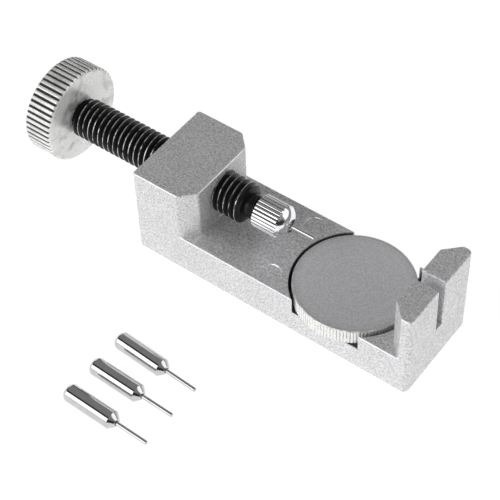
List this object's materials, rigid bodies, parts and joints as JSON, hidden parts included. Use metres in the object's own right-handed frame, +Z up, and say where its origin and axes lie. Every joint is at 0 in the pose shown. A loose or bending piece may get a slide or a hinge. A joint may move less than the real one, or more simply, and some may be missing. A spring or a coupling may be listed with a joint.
{
  "type": "watch band link pin remover",
  "caption": "Bench screw press for watch band pins: cast frame with a slotted tower, black feed screw with knurled knob and needle chuck, round table, loose spare pins.",
  "frame": {"origin": "centre of the cast frame's flat underside, on the ground", "axes": "+X along the feed screw from the knob towards the slotted tower, +Y to the far side, away from the spare pins, +Z up"},
  "size_m": [0.0877, 0.0586, 0.0246],
  "materials": {
    "cast_alloy": "bead-blasted casting with a fine sparkle",
    "black_oxide": "black oxide, semi-gloss",
    "bright_machined": "bright machined and knurled",
    "bright_plate": "bright plated and fluted",
    "pin_steel": "polished turned steel",
    "needle_steel": "polished hardened steel",
    "turned_steel": "faced with fine rings, knurled rim",
    "stud_steel": "plain steel"
  },
  "bodies": {
    "frame": {"frame": "cast_alloy"},
    "driver_pin": {"driver_pin_body": "pin_steel", "driver_pin_needle": "needle_steel"},
    "feed_screw": {"feed_screw": "black_oxide", "knob": "bright_machined"},
    "chuck_cap": {"chuck_cap": "bright_plate"},
    "table_stud": {"table_stud": "stud_steel"},
    "table_plate": {"table_plate": "turned_steel"},
    "spare_pin_1": {"spare_pin_1_body": "pin_steel", "spare_pin_1_needle": "needle_steel"},
    "spare_pin_2": {"spare_pin_2_body": "pin_steel", "spare_pin_2_needle": "needle_steel"},
    "spare_pin_3": {"spare_pin_3_body": "pin_steel", "spare_pin_3_needle": "needle_steel"}
  },
  "joints": [
    {"name": "pin_feed", "type": "slide", "parent": "frame", "child": "driver_pin", "axis": [1, 0, 0], "range_m": [-0.00701, 0.02051]},
    {"name": "screw_turn", "type": "hinge", "parent": "driver_pin", "child": "feed_screw", "pos_m": [-0.0302, 0, 0.0148], "axis": [1, 0, 0], "range_deg": [-2016, 5904]},
    {"name": "cap_unscrew", "type": "slide", "parent": "feed_screw", "child": "chuck_cap", "axis": [1, 0, 0], "range_m": [0, 0.0055]},
    {"name": "table_lift", "type": "slide", "parent": "frame", "child": "table_stud", "axis": [0, 0, 1], "range_m": [0, 0.00161]},
    {"name": "table_turn", "type": "hinge", "parent": "table_stud", "child": "table_plate", "pos_m": [0.01245, 0, 0.0055], "axis": [0, 0, 1], "range_deg": [0, 720]},
    {"name": "spare_pin_1_lift", "type": "slide", "parent": "frame", "child": "spare_pin_1", "axis": [0, 0, 1], "range_m": [0, 0.02]},
    {"name": "spare_pin_2_lift", "type": "slide", "parent": "frame", "child": "spare_pin_2", "axis": [0, 0, 1], "range_m": [0, 0.02]},
    {"name": "spare_pin_3_lift", "type": "slide", "parent": "frame", "child": "spare_pin_3", "axis": [0, 0, 1], "range_m": [0, 0.02]}
  ],
  "couplings": [
    {"joint": "pin_feed", "follows": "screw_turn", "m_per_rad": 0.00019894},
    {"joint": "table_lift", "follows": "table_turn", "m_per_rad": 0.00012732}
  ]
}
